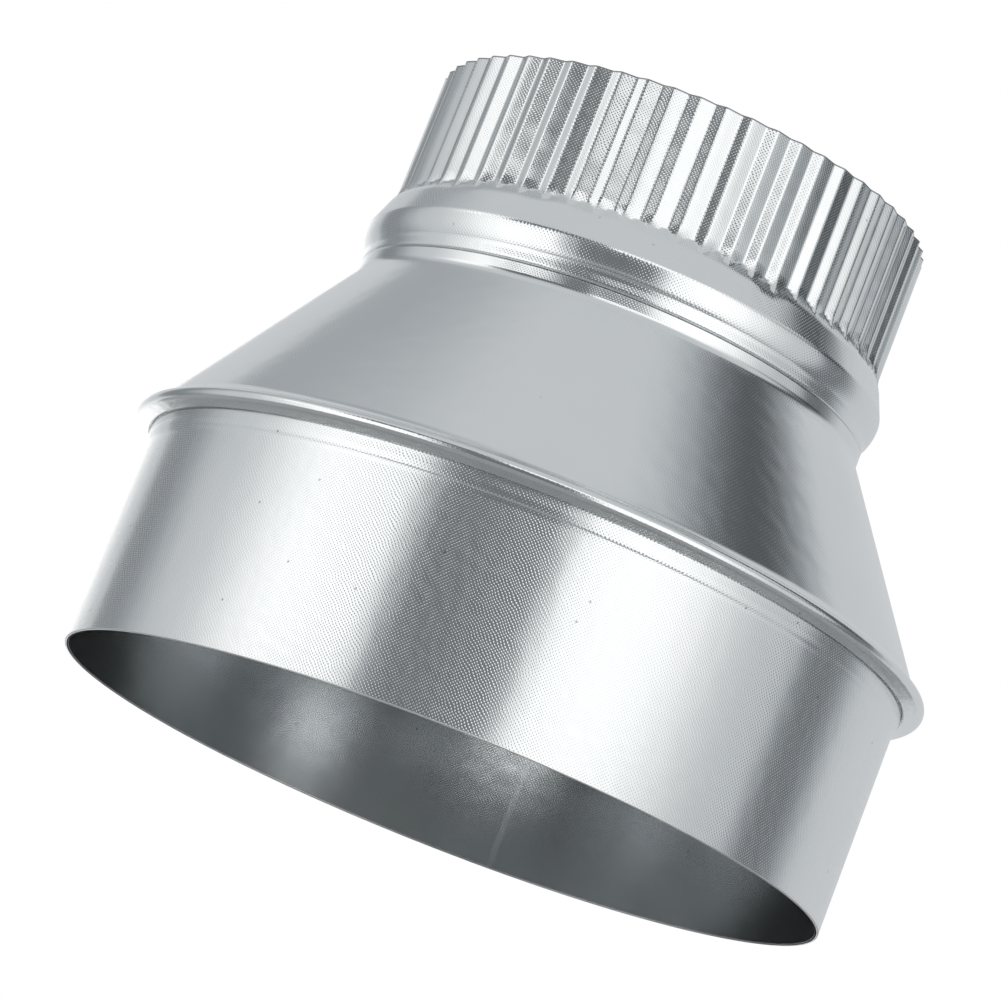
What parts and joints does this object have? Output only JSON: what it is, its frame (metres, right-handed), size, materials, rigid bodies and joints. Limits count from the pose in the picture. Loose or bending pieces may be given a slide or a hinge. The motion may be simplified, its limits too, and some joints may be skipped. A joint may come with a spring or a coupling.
{
  "type": "duct reducer",
  "caption": "Round sheet-metal duct reducer: plain large collar, taper with a rolled lock seam, and a beaded, crimped small collar.",
  "frame": {"origin": "centre of the open large end, at the plane of its rim", "axes": "+Z along the duct's axis, from the large end up to the crimped small end; -Y faces the viewer of the picture"},
  "size_m": [0.1626, 0.1626, 0.132],
  "materials": {
    "galvanised_steel": "bright galvanised sheet, fine rolled grain"
  },
  "bodies": {
    "root": {"large_collar": "galvanised_steel", "cone": "galvanised_steel", "small_collar": "galvanised_steel"}
  },
  "joints": []
}
